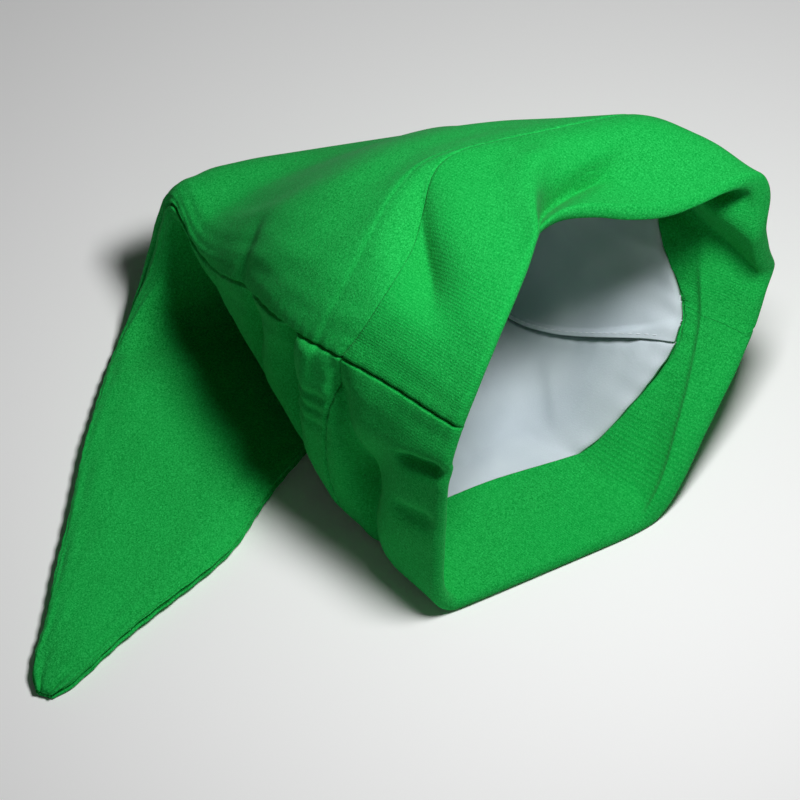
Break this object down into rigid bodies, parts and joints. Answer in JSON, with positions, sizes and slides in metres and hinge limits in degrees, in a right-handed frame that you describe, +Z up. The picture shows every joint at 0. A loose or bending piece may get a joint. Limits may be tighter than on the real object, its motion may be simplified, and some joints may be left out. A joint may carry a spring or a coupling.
{
  "type": "elf hat",
  "caption": "Long pointed cloth cap lying on its side, its tail folded under the open crown, with a wide folded headband and a pale lining bag inside.",
  "frame": {"origin": "on the floor plane, in the middle of the flat patch that the headband's lower half rests on", "axes": "+Z up from the surface it lies on; -Y out of the open mouth; +X towards the far side, away from the tail's tip; the tail lies towards -X"},
  "size_m": [0.3678, 0.2635, 0.1524],
  "materials": {
    "green_fleece": "brushed short-pile fleece, matt",
    "green_band": "fine-ribbed brushed knit, matt",
    "white_lining": "smooth twill weave, matt"
  },
  "bodies": {
    "root": {"cone_top_panel": "green_fleece", "cone_bottom_panel": "green_fleece", "headband_top": "green_band", "headband_bottom": "green_band", "lining_top": "white_lining", "lining_bottom": "white_lining"}
  },
  "joints": []
}
